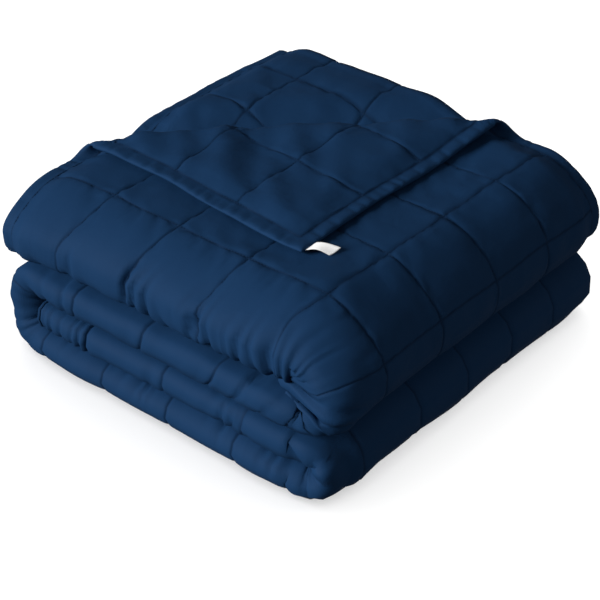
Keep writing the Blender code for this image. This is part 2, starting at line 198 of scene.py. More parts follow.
# ---------------------------------------------------------------- cloth slid in its folds
SIDE_SLIP = 0.030            # the top run's side has slid towards the back
SIDE_SLIP_ACROSS = (0.424, 0.500)
SIDE_SLIP_GROWS = (0.000, 0.119)
SIDE_SLIP_FADES = (0.450, 0.650)
FRONT_SLIP = 0.020           # and the upper front wrap has slid up
BASE_SLIP = (0.018, 0.040)   # the base has slid away from the side fold, most low down
BASE_SLIP_GROWS = (0.424, 0.519)
BASE_SLIP_FULL = 0.620
BASE_SLIP_ALONG = (0.550, 0.680)
TUCKED_SLIPS = ((1.52, 1.62, 1.72, 1.82, 1.92, 2.038),
                (0.0, 0.058, 0.0915, 0.127, 0.113, 0.0))

# Centre of the folded blanket's footprint, which is the origin.
CENTRE_X = 0.1809
CENTRE_Y = 0.1702

# ---------------------------------------------------------------- filling and cloth
POCKET_ROUND = 0.036         # how far from a seam a pocket is still rounded
POCKET_CROWN = 0.0007        # how much higher the middle of a pocket is than its sides
CREASE_DEPTH = 0.0009        # how far the thread itself bites in
CREASE_WIDTH = 0.0036
HEM_SHARE = 0.42             # thickness of a pocket where it meets the hem
HEM_ROUND = 0.030
HEM_HALF = 0.0034            # half thickness of the hem's roll
HEM_EDGE_HALF = 0.0009
THINNEST_HALF = 0.0010
CLOTH_SLACK = 0.030          # how much wider and longer the cloth is cut than it lies
CLOTH_PRESSURE = 0.35
CLOTH_STIFFNESS = 12.0
CLOTH_BENDING = 0.03
CLOTH_QUALITY = 4
CLOTH_FRAMES = 12
CLOTH_MASS = 0.25
CLOTH_SHEAR = 4.0
CLOTH_DAMPING = 8.0
CLOTH_AIR_DAMPING = 3.0
CLOTH_REACH = 0.0008         # the furthest that swelling moves a point
CLOTH_ROOM = 0.38            # and the most of a gap that it may fill
HELD_GAPS = (0.004, 0.010)   # cloth is held in a gap under the first, free over the second
CREASE_ROOM = 0.35           # the most of a gap that a crease may fill
CREASE_GAPS = (0.001, 0.012)     # gaps over which creases grow to their height
SEWN_WITHIN = 0.0008
THREAD_SHADE = (-0.0004, 0.0028)     # distances from a seam over which its shade fades
STEP = 0.0005
FLAT_BELOW = 0.0025
LOOK_FROM = 0.0006           # how far off a surface its neighbours are looked for from
LOOK_OUT = 0.030             # and how far out

# ---------------------------------------------------------------- where a seam shows
ON_SEAM = 1e-5
THREAD_RISE = 0.0002
SEAM_LOOKS_FROM = 0.002
SEAM_NEEDS_ROOM = 0.014
SEAM_LOWEST_Z = 0.003

# Where the grid lines of one square lie, as shares of it: crowded at its seams.
BESIDE_SEAM = (0.013, 0.034)


def crowded(count, last):
    """Shares close to both seams, and this many even ones between them."""
    even = [last + (1.0 - 2.0 * last) * i / (count - 1) for i in range(count)]
    return (0.0, *BESIDE_SEAM, *even, *(1.0 - share for share in reversed(BESIDE_SEAM)))


DENSE = crowded(29, 0.060)
SIDE = crowded(14, 0.080)
FINE = crowded(11, 0.085)
LOW_SIDE = (0.0, 0.02, 0.10, *(0.18 + 0.0567 * i for i in range(13)), 0.93, 0.98)
FAR_BEFORE = (0.0, 0.03, 0.12, 0.30, 0.50, 0.70, 0.82, 0.90, 0.94, 0.97)
FAR_AFTER = (0.0, 0.03, 0.06, 0.10, 0.14, 0.18, 0.22, 0.28, 0.40, 0.60, 0.80, 0.94)
COARSE = (0.0, 0.03, 0.12, 0.35, 0.65, 0.88, 0.97)
HIDDEN = (0.0, 0.06, 0.35, 0.65, 0.94)
HEM_LINES = (0.0, 0.0018, 0.005, 0.010, 0.015)
TURN_LINES = 7

# Places where the cloth is bunched up in small folds that run across the side.
Bunch = namedtuple("Bunch", "along across reach_along reach_across pitch depth slant")
BUNCHES = (
    Bunch(0.130, 0.516, 0.022, 0.044, 0.017, 0.0044, 0.2),
    Bunch(0.232, 0.508, 0.032, 0.060, 0.019, 0.0085, 0.2),
    Bunch(0.280, 0.516, 0.022, 0.040, 0.017, 0.0055, -0.3),
    Bunch(0.330, 0.506, 0.036, 0.062, 0.019, 0.0085, 0.3),
    Bunch(0.392, 0.510, 0.048, 0.058, 0.018, 0.0085, 0.1),
    Bunch(0.452, 0.484, 0.052, 0.044, 0.028, 0.0085, 0.1),
    Bunch(0.566, 0.486, 0.060, 0.048, 0.027, 0.0075, -0.1),
    Bunch(0.664, 0.462, 0.032, 0.050, 0.026, 0.0070, 0.9),
    Bunch(0.724, 0.460, 0.018, 0.034, 0.016, 0.0036, 0.1),
    Bunch(0.826, 0.458, 0.018, 0.030, 0.016, 0.0034, 0.2),
    Bunch(0.956, 0.462, 0.032, 0.050, 0.026, 0.0064, -0.8),
    Bunch(1.040, 0.455, 0.060, 0.040, 0.034, 0.0040, 0.7),
    Bunch(1.163, 0.446, 0.024, 0.028, 0.016, 0.0064, 0.6),
    Bunch(1.218, 0.444, 0.024, 0.026, 0.016, 0.0060, 0.3),
    Bunch(1.266, 0.445, 0.036, 0.034, 0.018, 0.0075, 0.2),
    Bunch(1.332, 0.443, 0.020, 0.025, 0.016, 0.0044, 0.2),
    Bunch(1.400, 0.444, 0.038, 0.034, 0.018, 0.0075, 0.2),
    Bunch(1.476, 0.446, 0.036, 0.034, 0.018, 0.0075, 0.2),
    Bunch(1.548, 0.456, 0.050, 0.046, 0.019, 0.0070, 0.0),
    Bunch(1.636, 0.460, 0.036, 0.046, 0.018, 0.0070, 0.6),
    Bunch(1.728, 0.458, 0.020, 0.034, 0.015, 0.0044, 0.3),
    Bunch(1.802, 0.462, 0.016, 0.040, 0.014, 0.0060, 0.3),
    Bunch(1.834, 0.460, 0.026, 0.050, 0.015, 0.0080, 0.1),
    Bunch(1.900, 0.458, 0.046, 0.040, 0.022, 0.0046, 0.3),
)
FOLD_SHARPNESS = 0.75        # below 1 the valleys between the small folds are narrower
FOLD_STRAY = 0.80            # how far the small folds stray from even spacing
FOLD_RATE_ALONG = 42.0
FOLD_RATE_ACROSS = 19.0
FOLD_STRENGTH = 0.80
FOLD_STRENGTH_STRAYS = 1.1
MOST_DRAWN_IN = 0.85         # as a share of the half thickness
FLAP_RUMPLE = 0.0056
FLAP_RUMPLE_SIZE = (0.034, 0.120)
FLAP_RUMPLE_GROWS = 0.030
RUMPLE_SIZE = 0.060
PUCKER_GROWS = 0.006
PUCKER_FADES = (0.008, 0.026)
HEM_ROLL_LEAN = 0.6
HEM_ROLL_FULLNESS = 0.8
HEM_WAVE = 0.0060
HEM_WAVE_RATE = 9.0
HEM_WAVE_REACH = 0.060
HEM_WAVE_GROWS = 0.060
HEM_WAVE_UPWARDS = 0.3
HEM_PUCKER = 0.0026
HEM_PUCKER_SPACING = 0.0260
HEM_PUCKER_STRAY = 1.4

# ---------------------------------------------------------------- unevenness of the stack
SLOW_RATE = 8.0
QUICK_RATE = 19.0
QUICK_SHARE = 0.45
UNEVEN_FULL_Z = 0.040        # it lies evenly on the floor, and strays fully above this
# Noise vectors change with the clock unless they are seeded, so the unevenness and the
# hem's wave start from this number, and come out the same in each run.
STRAY_SEED = 1795545920

# ---------------------------------------------------------------- label
LABEL_HALF_WIDTH = 0.0092
LABEL_LENGTH = 0.0265
LABEL_HALF_THICKNESS = 0.00035
LABEL_ALONG_HEM = 0.0155
LABEL_OFF_HEM = 0.0016
LABEL_HEM_RUN = 0.021        # the stretch of hem that gives the label's direction
LABEL_HEADING = math.radians(-62.0)
LABEL_ARCH = 0.0032
LABEL_DROOP = 0.0050
LABEL_CURL = 0.0009
LABEL_RIPPLE = 0.0006
LABEL_STEPS = 24
LABEL_STEPS_ACROSS = 8

# ---------------------------------------------------------------- camera, floor and lights
CAMERA_PLACE = Vector((-1.3084, -1.1009, 1.1681))
CAMERA_LOOKS = Vector((0.6370, 0.5392, -0.5508))
CAMERA_LENS = 101.1
CAMERA_SENSOR = 36.0
CAMERA_SEES_TO = 50.0
FLOOR_HALF_SIZE = 9.0
LIT_POINT = Vector((0.0, 0.0, 0.10))
KEY_PLACE = Vector((-2.5, 1.45, 1.30))
FILL_PLACE = Vector((1.0, -2.4, 1.3))
FLOOR_LIGHT_PLACE = Vector((0.55, 0.46, 3.0))


class BlanketCloth(bpy.types.PropertyGroup):
    pucker_height: FloatProperty(
        name="Pucker height", description="Height of the small creases beside each seam",
        default=0.0010, unit="LENGTH")
    pucker_spacing: FloatProperty(
        name="Pucker spacing", description="Distance between creases along a seam",
        default=0.024, unit="LENGTH")
    rumple_height: FloatProperty(
        name="Rumple height", description="Height of the broad, soft wrinkles",
        default=0.0007, unit="LENGTH")
    lean: FloatProperty(
        name="Unevenness", description="How far the whole stack strays from true",
        default=0.0032, unit="LENGTH")
    stitch_pitch: FloatProperty(
        name="Stitch pitch", description="Distance from one stitch to the next",
        default=0.0042, unit="LENGTH")
    stitch_length: FloatProperty(
        name="Stitch length", description="Length of thread that shows in one stitch",
        default=0.0030, unit="LENGTH")
    thread_width: FloatProperty(
        name="Thread width", description="Width of the sewing thread",
        default=0.0007, unit="LENGTH")
    seed: IntProperty(
        name="Seed", description="Which set of creases the cloth has", default=4)


class BlanketColours(bpy.types.PropertyGroup):
    cover: FloatVectorProperty(
        name="Cover", description="Colour of the cover", subtype="COLOR", size=4,
        min=0.0, max=1.0, default=(0.0086, 0.0355, 0.0960, 1.0))
    cover_worn: FloatVectorProperty(
        name="Raised cover", description="Colour of the cover where its nap is rubbed",
        subtype="COLOR", size=4, min=0.0, max=1.0, default=(0.0108, 0.0435, 0.1160, 1.0))
    # The cover is also darkened to this colour along each seam: partly the thread that
    # shows there, partly painted shade in the seam's crease.
    thread: FloatVectorProperty(
        name="Thread", description="Colour of the stitching", subtype="COLOR", size=4,
        min=0.0, max=1.0, default=(0.0062, 0.0235, 0.0640, 1.0))
    label: FloatVectorProperty(
        name="Label", description="Colour of the bare label", subtype="COLOR", size=4,
        min=0.0, max=1.0, default=(0.80, 0.80, 0.80, 1.0))


class BlanketStage(bpy.types.PropertyGroup):
    floor_tone: FloatVectorProperty(
        name="Floor", description="Colour of the floor", subtype="COLOR", size=4,
        min=0.0, max=1.0, default=(0.96, 0.96, 0.96, 1.0))
    key_strength: FloatProperty(
        name="Key light", description="Strength of the broad, soft light from the left",
        default=4.0, min=0.0)
    key_spread: FloatProperty(
        name="Key spread", description="How wide the key light is, seen from the blanket",
        default=math.radians(26.0), subtype="ANGLE")
    fill_strength: FloatProperty(
        name="Fill light", description="Strength of the weak light from the front",
        default=0.33, min=0.0)
    floor_light: FloatProperty(
        name="Floor light",
        description="Strength of the soft light that only the floor takes",
        default=2.4, min=0.0)
    floor_glow: FloatProperty(
        name="Floor glow", description="Strength of the floor's light that casts no shadow",
        default=1.64, min=0.0)
    floor_spread: FloatProperty(
        name="Floor light spread", description="How soft the shadow on the floor is",
        default=math.radians(155.0), subtype="ANGLE")
    label_light: FloatProperty(
        name="Label light", description="Strength of the light that only the label takes",
        default=2.15, min=0.0)
    sky_strength: FloatProperty(
        name="Sky", description="Strength of the even light all round",
        default=0.105, min=0.0)


# ---------------------------------------------------------------- the folds


def smooth(value, low, high):
    """Ease from 0 at low to 1 at high."""
    t = min(max((value - low) / (high - low), 0.0), 1.0)
    return t * t * (3.0 - 2.0 * t)


def mix(start, end, share):
    return start + (end - start) * share


def at_level(level, outer, middle, base):
    """Value at a level of the strip: 1 is the outer layer, 0 the middle, -1 the base."""
    bend = 0.5 * (outer + base) - middle
    return middle + 0.5 * (outer - base) * level + bend * level ** 2


def row_at(rows, along):
    """The row of a table at this distance along the blanket, eased between its rows."""
    for first, second in zip(rows, rows[1:]):
        if along <= second.along:
            share = smooth(along, first.along, second.along)
            return [mix(p, q, share) for p, q in zip(first[1:], second[1:])]
    return list(rows[-1][1:])


def side_fold(distance, along):
    """A point of the side fold, at this distance into its share of the width."""
    start, tip, half_height = row_at(SIDE_FOLDS, along)
    reach = start - tip
    straight = -start
    arc = math.pi * math.sqrt((reach ** 2 + half_height ** 2) / 2)
    travelled = distance / (SIDE_FOLD_END - OUTER_END) * (2 * straight + arc)
    if travelled < straight:
        return -travelled, 1.0
    if travelled > straight + arc:
        return start + (travelled - straight - arc), -1.0
    angle = math.pi * (travelled - straight) / arc
    square = np.interp(along, *SIDE_SQUARENESS) if angle > 0.5 * math.pi else 1.0
    turn = math.copysign(abs(math.cos(angle)) ** square, math.cos(angle))
    return start - reach * math.sin(angle) ** square, turn


def fold_across(across, along):
    """Fold the width in thirds: x and the level in the strip."""
    if across <= OUTER_END:
        return FREE_EDGE_X * (1.0 - across / OUTER_END), 1.0
    if across <= SIDE_FOLD_END:
        return side_fold(across - OUTER_END, along)
    if across <= BASE_END:
        return FAR_FOLD_X * (across - SIDE_FOLD_END) / (BASE_END - SIDE_FOLD_END), -1.0
    if across <= FAR_FOLD_END:
        angle = math.pi * (across - BASE_END) / (FAR_FOLD_END - BASE_END)
        return FAR_FOLD_X + FAR_FOLD_REACH * math.sin(angle), -0.5 - 0.5 * math.cos(angle)
    share = (across - FAR_FOLD_END) / (WIDTH - FAR_FOLD_END)
    return mix(FAR_FOLD_X, TUCKED_EDGE_X, share), 0.0


def turn_y(wrap, level):
    return at_level(level, wrap.outer, wrap.middle, wrap.base)


def height(run, level):
    return at_level(level, run.outer, run.middle, run.base)


def in_run(run, level, y_from, y_to, share):
    return mix(y_from, y_to, share), height(run, level)


def in_wrap(wrap, run_before, run_after, level, share):
    """Half an ellipse that carries one layer from one run into the next."""
    before, after = height(run_before, level), height(run_after, level)
    reach = at_level(level, wrap.outer_reach, wrap.middle_reach, wrap.base_reach)
    longest = max(wrap.outer_reach, wrap.base_reach)
    power = mix(1.0, WRAP_FULLNESS, reach / longest)
    angle = math.pi * share
    turn = math.copysign(abs(math.cos(angle)) ** power, math.cos(angle))
    y = turn_y(wrap, level) + wrap.side * reach * math.sin(angle) ** power
    return y, 0.5 * (before + after) + 0.5 * (before - after) * turn


def lay_along(along, level):
    """Lay the strip in runs and wraps: y and z."""
    front = turn_y(UPPER_FRONT_WRAP, level)
    back = turn_y(BACK_WRAP, level)
    low_front = turn_y(LOWER_FRONT_WRAP, level)
    if along <= TOP_RUN_END:
        return in_run(TOP_RUN, level, STRIP_START_Y, front, along / TOP_RUN_END)
    if along <= UPPER_WRAP_END:
        share = (along - TOP_RUN_END) / (UPPER_WRAP_END - TOP_RUN_END)
        return in_wrap(UPPER_FRONT_WRAP, TOP_RUN, THIRD_RUN, level, share)
    if along <= THIRD_RUN_END:
        share = (along - UPPER_WRAP_END) / (THIRD_RUN_END - UPPER_WRAP_END)
        return in_run(THIRD_RUN, level, front, back, share)
    if along <= BACK_WRAP_END:
        share = (along - THIRD_RUN_END) / (BACK_WRAP_END - THIRD_RUN_END)
        return in_wrap(BACK_WRAP, THIRD_RUN, FLOOR_RUN, level, share)
    if along <= FLOOR_RUN_END:
        share = (along - BACK_WRAP_END) / (FLOOR_RUN_END - BACK_WRAP_END)
        return in_run(FLOOR_RUN, level, back, low_front, share)
    if along <= LOWER_WRAP_END:
        share = (along - FLOOR_RUN_END) / (LOWER_WRAP_END - FLOOR_RUN_END)
        return in_wrap(LOWER_FRONT_WRAP, FLOOR_RUN, TUCKED_RUN, level, share)
    share = (along - LOWER_WRAP_END) / (LENGTH - LOWER_WRAP_END)
    return in_run(TUCKED_RUN, level, low_front, STRIP_END_Y, share)


def gathered(x, along, level):
    """Draw the inner side of the side fold in, where the strip is wrapped."""
    for gather in GATHERS:
        core = GATHER_CORE * gather.half_width
        near = 1.0 - smooth(abs(along - gather.at), core, gather.half_width)
        inner = smooth(level * gather.inner_level, -GATHER_LEVEL, GATHER_LEVEL)
        edge = 1.0 - smooth(x, GATHER_FULL_X, GATHER_ENDS_X)
        x += gather.depth * near * inner * edge
    return x


def window(distance, reach):
    """1 in the middle of a patch, easing to 0 at its end."""
    return 1.0 - smooth(abs(distance), 0.35 * reach, reach)


def valley(phase):
    """0 on the round ridges of a row of folds and 1 in the narrow valleys between them."""
    return 1.0 - abs(math.sin(math.pi * phase)) ** FOLD_SHARPNESS


def tucked(point, along, level):
    """Fold the side of each wrap in on itself, and let its inner turn slide back."""
    edge = 1.0 - smooth(point.x, TUCK_FULL_X, TUCK_ENDS_X)
    for number, tuck in enumerate(TUCKS if edge > 0.0 else ()):
        near = edge * window(along - tuck.at, tuck.reach)
        if near > 0.0:
            point.y += tuck.slid * near * smooth(-level, *TUCK_SLIDES)
            spot = Vector((along * TUCK_STRAY_RATE, level, 5.3 * number))
            stray = TUCK_STRAY * noise.noise(spot)
            deep = tuck.depth * near * smooth(-level, *TUCK_DEEPENS)
            point.x += deep * valley((along - tuck.at) / tuck.pitch + stray)
    return point


LINE_START = Vector((CORNER_LINE_END_X, STRIP_START_Y, 0.0))
LINE_END = Vector((FREE_EDGE_X, CORNER_LINE_EDGE_Y, 0.0))
LINE_DIRECTION = (LINE_END - LINE_START).normalized()
LINE_NORMAL = Vector((-LINE_DIRECTION.y, LINE_DIRECTION.x, 0.0))


def past_line(x, y):
    """Distance past the corner's fold line, towards the free corner."""
    return (Vector((x, y, 0.0)) - LINE_START).dot(LINE_NORMAL)


def turn_corner(point):
    """Roll what lies past the fold line over, and lay it back on the top."""
    distance = past_line(point.x, point.y)
    if distance <= 0.0:
        return point
    share = (point - LINE_START).dot(LINE_DIRECTION) / (LINE_END - LINE_START).length
    radius = mix(CORNER_RADIUS_END, CORNER_RADIUS_EDGE, min(max(share, 0.0), 1.0))
    foot = point - LINE_NORMAL * distance
    if distance < math.pi * radius:
        angle = distance / radius
        out = LINE_NORMAL * radius * math.sin(angle)
        return foot + out + Vector((0.0, 0.0, radius * (1.0 - math.cos(angle))))
    back = (distance - math.pi * radius) * CORNER_STRETCH
    rest = mix(2.0 * radius, CORNER_REST, smooth(back, 0.0, CORNER_REST_FROM))
    to_hem = min(FREE_EDGE_X - point.x, STRIP_START_Y - point.y)
    rest -= CORNER_HEM_DROOP * (1.0 - smooth(to_hem, 0.5 * HEM, 2.0 * HEM))
    foot -= LINE_DIRECTION * back * CORNER_SKEW
    wave = noise.noise_vector(Vector((point.x, point.y, 0.4)) * HEM_WAVE_RATE)
    near_hem = 1.0 - smooth(to_hem, 0.0, HEM_WAVE_REACH)
    wave *= HEM_WAVE * near_hem * smooth(back, 0.0, HEM_WAVE_GROWS)
    foot += Vector((wave.x, wave.y, HEM_WAVE_UPWARDS * wave.z))
    return foot - LINE_NORMAL * back + Vector((0.0, 0.0, rest))


def top_run_lift(point, level):
    """The top run swells where the turned corner uncovers it, and sags at its end."""
    swell = open_swell(point.x, point.y, level)
    at_end = smooth(point.y, END_SAG_FROM_Y, END_SAG_TO_Y)
    lift = OPEN_LOFT * swell * mix(OPEN_LOFT_BASE, 1.0, min(level + 1.0, 1.0))
    sag = mix(END_SAG["base"], END_SAG["outer"], 0.5 * (level + 1.0))
    return lift * mix(1.0, OPEN_LOFT_END, at_end) - sag * (1.0 - swell) * at_end


def open_swell(x, y, level):
    """How far a lower layer of the top run is uncovered, from 0 to 1."""
    if level > 0.0:
        return 0.0
    return smooth(past_line(x, y), OPEN_LOFT_FROM, OPEN_LOFT_TO)


def settled(point):
    """Let the stack settle towards its left side and its front."""
    side = smooth(-point.x, -SIDE_SETTLE_FROM_X, -SIDE_SETTLE_TO_X)
    front = smooth(-point.y, -FRONT_SETTLE_FROM_Y, -FRONT_SETTLE_TO_Y)
    point.z *= (1.0 - SIDE_SETTLE * side) * (1.0 - FRONT_SETTLE * front)
    return point


def slipped(across, along):
    """Where the cloth would lie on the flat blanket, had it not slid in its folds."""
    side = smooth(across, *SIDE_SLIP_ACROSS) * smooth(along, *SIDE_SLIP_GROWS)
    side *= 1.0 - smooth(along, *SIDE_SLIP_FADES)
    turn = (along - TOP_RUN_END) / (UPPER_WRAP_END - TOP_RUN_END)
    front = math.sin(math.pi * min(max(turn, 0.0), 1.0)) ** 2
    base = smooth(across, *BASE_SLIP_GROWS)
    base *= min(max((BASE_END - across) / (BASE_END - BASE_SLIP_FULL), 0.0), 1.0)
    slid_along = SIDE_SLIP * side + FRONT_SLIP * front - np.interp(along, *TUCKED_SLIPS)
    slid_across = base * mix(*BASE_SLIP, smooth(along, *BASE_SLIP_ALONG))
    return across + slid_across, along - slid_along


def middle_of_sheet(across, along):
    """Where the middle of the sheet lies, for a place on the flat blanket."""
    across, along = slipped(across, along)
    x, level = fold_across(across, along)
    y, z = lay_along(along, level)
    over_side = smooth(-x, EDGE_DROOP_FROM_X, EDGE_DROOP_TO_X) * smooth(-level, 0.0, 1.0)
    z -= EDGE_DROOP * over_side * (1.0 - smooth(along, *EDGE_DROOP_FADES))
    point = tucked(Vector((gathered(x, along, level), y, z)), along, level)
    if along <= TOP_RUN_END:
        if across <= OUTER_END:
            point = turn_corner(point)
        point.z += top_run_lift(point, level)
    return settled(point)


def sheet_normal(across, along):
    """Unit normal of the sheet, on the side that shows on top of the outer layer."""
    before = middle_of_sheet(max(across - STEP, 0.0), along)
    after = middle_of_sheet(min(across + STEP, WIDTH), along)
    nearer = middle_of_sheet(across, max(along - STEP, 0.0))
    further = middle_of_sheet(across, min(along + STEP, LENGTH))
    return (after - before).cross(further - nearer).normalized()


# ---------------------------------------------------------------- filling and creases


def from_hem(across, along):
    """Distance in from the nearest edge of the flat blanket."""
    return min(across, WIDTH - across, along, LENGTH - along)


def from_seam(distance):
    """Distance to the nearest seam on one side of the squares, and that seam's number."""
    place = (distance - HEM) / SQUARE
    return abs(place - round(place)) * SQUARE, round(place)


def pocket_rise(distance):
    """0 on a seam, and 1 in the flat middle of a square."""
    return 1.0 - (1.0 - min(from_seam(distance)[0] / POCKET_ROUND, 1.0)) ** 2


def nearest_seam(across, along):
    """Distance to the nearest seam: in the hem, only the hem's own."""
    edge = from_hem(across, along)
    if edge < HEM:
        return HEM - edge
    return min(from_seam(across)[0], from_seam(along)[0])


def hem_roll(edge):
    """0 at the blanket's edge and at the hem's seam, and 1 on the roll between them."""
    share = min(max(edge / HEM, 0.0), 1.0)
    return max(math.sin(math.pi * share ** HEM_ROLL_LEAN), 0.0) ** HEM_ROLL_FULLNESS


def half_thickness(across, along):
    """Half the thickness of the filled sheet, sewn down at its seams and round its hem."""
    edge = from_hem(across, along)
    if edge < HEM - STEP:
        return mix(HEM_EDGE_HALF, HEM_HALF, hem_roll(edge))
    laid_across, laid_along = slipped(across, along)
    x, level = fold_across(laid_across, laid_along)
    loft = at_level(level, *row_at(LOFTS, laid_along))
    if laid_along <= TOP_RUN_END:
        y = lay_along(laid_along, level)[0]
        if laid_across <= OUTER_END and past_line(x, y) > 0.0:
            loft *= CORNER_THICKNESS
        loft *= mix(1.0, OPEN_THICKNESS, open_swell(x, y, level))
    if BASE_END - FAR_FOLD_MARGIN < laid_across < FAR_FOLD_END + FAR_FOLD_MARGIN:
        loft *= FAR_FOLD_SQUEEZE
    rise = pocket_rise(across) * pocket_rise(along)
    half = 0.5 * loft - POCKET_CROWN * (1.0 - rise)
    half *= mix(HEM_SHARE, 1.0, smooth(edge - HEM, 0.0, HEM_ROUND))
    half -= CREASE_DEPTH * max(1.0 - nearest_seam(across, along) / CREASE_WIDTH, 0.0)
    return max(half, THINNEST_HALF)


def drawn_in(across, along, seed):
    """How deep the cloth lies between the small folds that bunch it up."""
    deepest = 0.0
    for number, bunch in enumerate(BUNCHES):
        near = window(along - bunch.along, bunch.reach_along)
        near *= window(across - bunch.across, bunch.reach_across)
        if near > 0.0:
            spot = Vector((along * FOLD_RATE_ALONG, across * FOLD_RATE_ACROSS,
                           3.7 * number + seed))
            slanted = bunch.slant * (across - bunch.across)
            phase = (along - bunch.along + slanted) / bunch.pitch
            phase += FOLD_STRAY * noise.noise(spot)
            strength = FOLD_STRENGTH + FOLD_STRENGTH_STRAYS * noise.noise(spot * 0.9)
            deepest = max(deepest, bunch.depth * near * valley(phase) * strength)
    return deepest


def on_turned_corner(across, along):
    """Where a place lies along and across the corner's fold line, or None before it."""
    if across > OUTER_END or along > TOP_RUN_END:
        return None
    point = Vector((fold_across(across, along)[0], lay_along(along, 1.0)[0], 0.0))
    past = past_line(point.x, point.y)
    return ((point - LINE_START).dot(LINE_DIRECTION), past) if past > 0.0 else None


def creases(across, along, side, half, cloth):
    """Height of the cloth's own creases, over the plain filled shape."""
    edge = from_hem(across, along)
    if edge < HEM:
        run = along if min(across, WIDTH - across) < min(along, LENGTH - along) else across
        spot = Vector((run / HEM_PUCKER_SPACING, 0.0, cloth.seed))
        phase = run / HEM_PUCKER_SPACING + HEM_PUCKER_STRAY * noise.noise(spot * 0.8)
        return -HEM_PUCKER * hem_roll(edge) * valley(phase) ** 2
    total = 0.0
    for number, (distance, place) in enumerate(((across, along), (along, across))):
        gap, seam = from_seam(distance)
        beside = smooth(gap, 0.0, PUCKER_GROWS) * (1.0 - smooth(gap, *PUCKER_FADES))
        if beside > 0.0:
            spot = Vector((place / cloth.pucker_spacing, seam * 5.7 + cloth.seed,
                           side * 3.1 + number * 11.3))
            total += beside * (noise.noise(spot) + 0.5 * noise.noise(spot * 2.0))
    rise = pocket_rise(across) * pocket_rise(along)
    turned = on_turned_corner(across, along)
    if turned:
        size_along, size_past = FLAP_RUMPLE_SIZE
        spot = Vector((turned[0] / size_along, turned[1] / size_past, 7.1 + cloth.seed))
        grown = smooth(edge - HEM, 0.0, FLAP_RUMPLE_GROWS)
        rumple = FLAP_RUMPLE * noise.noise(spot) * grown
    else:
        spot = Vector((across / RUMPLE_SIZE, along / RUMPLE_SIZE, side * 4.7 + cloth.seed))
        rumple = cloth.rumple_height * rise * noise.fractal(spot, 1.0, 2.0, 3)
    drawn = drawn_in(across, along, cloth.seed) if side > 0 else 0.0
    return total * cloth.pucker_height + rumple - min(drawn, MOST_DRAWN_IN * half)


def uneven(point, amount):
    """Shift a point a little, by a field that changes slowly through the whole stack."""
    slow = noise.noise_vector(point * SLOW_RATE + Vector((3.1, 0.7, 1.9)))
    quick = noise.noise_vector(point * QUICK_RATE + Vector((7.7, 5.2, 2.4)))
    shift = slow * amount + quick * amount * QUICK_SHARE
    shift.z *= smooth(point.z, 0.0, UNEVEN_FULL_Z)
    return point + shift


# ---------------------------------------------------------------- the mesh


def shares_in(i, j):
    """Shares at which a square's grid lines lie, across and along the blanket.

    Squares that show, turn tightly or are bunched up have more lines than hidden ones.
    """
    on_top = i < 4 and j < 6
    uncovered = i > 9 and j < 4
    in_side = i in (4, 5) and j < 6 or i == 4
    turns = j in (9, 10, 14, 15)
    inside = (1 <= i <= 3 or 6 <= i <= 8 and j < 14) and j > 6 or i > 10 and j > 4
    across = along = HIDDEN if inside and not turns else COARSE
    if on_top or uncovered:
        across = FINE
    if in_side:
        across = SIDE if j < 6 else LOW_SIDE
    if i in (9, 10):
        across = FAR_BEFORE if i == 9 else FAR_AFTER
    if on_top or uncovered or turns:
        along = FINE
    if in_side:
        along = DENSE
    if i < 0 and j < 5:
        along = DENSE
    if j < 0 and i < 5:
        across = DENSE
    return across, along


def lines_of(place, count, shares):
    """Grid lines of one square, or of the hem before the first or after the last."""
    end = HEM + SQUARE * count
    if place < 0:
        lines = [*HEM_LINES, HEM]
    elif place == count:
        lines = [end, *(end + HEM - line for line in reversed(HEM_LINES))]
    else:
        lines = [HEM + SQUARE * (place + share) for share in (*shares, 1.0)]
    return [round(line, 7) for line in lines]


def squares_grid(flat):
    """The grid of every square and hem; a face takes in its finer neighbour's corners."""
    cells, verts = [], {}
    columns, rows = defaultdict(set), defaultdict(set)
    for i in range(-1, SQUARES_WIDE + 1):
        for j in range(-1, SQUARES_LONG + 1):
            across, along = shares_in(i, j)
            cell = (lines_of(i, SQUARES_WIDE, across), lines_of(j, SQUARES_LONG, along))
            cells.append(cell)
            for x in cell[0]:
                for y in cell[1]:
                    if (x, y) not in verts:
                        verts[x, y] = flat.verts.new((x, y, 0.0))
                        columns[x].add(y)
                        rows[y].add(x)
    columns = {x: sorted(ys) for x, ys in columns.items()}
    rows = {y: sorted(xs) for y, xs in rows.items()}

    def between(values, start, end):
        return values[bisect_left(values, start):bisect_left(values, end)]

    for xs, ys in cells:
        for x, next_x in zip(xs, xs[1:]):
            for y, next_y in zip(ys, ys[1:]):
                loop = [verts[a, y] for a in between(rows[y], x, next_x)]
                loop += [verts[next_x, b] for b in between(columns[next_x], y, next_y)]
                upper = between(rows[next_y], x, next_x)[1:]
                loop += [verts[a, next_y] for a in (next_x, *reversed(upper))]
                left = between(columns[x], y, next_y)[1:]
                loop += [verts[x, b] for b in (next_y, *reversed(left))]
                flat.faces.new(loop)


def on_flat_blanket(point):
    """Where a place on top of the stack lies on the flat blanket."""
    across = OUTER_END * (1.0 - point.x / FREE_EDGE_X)
    front = turn_y(UPPER_FRONT_WRAP, 1.0)
    along = TOP_RUN_END * (STRIP_START_Y - point.y) / (STRIP_START_Y - front)
    return Vector((across, along, 0.0))


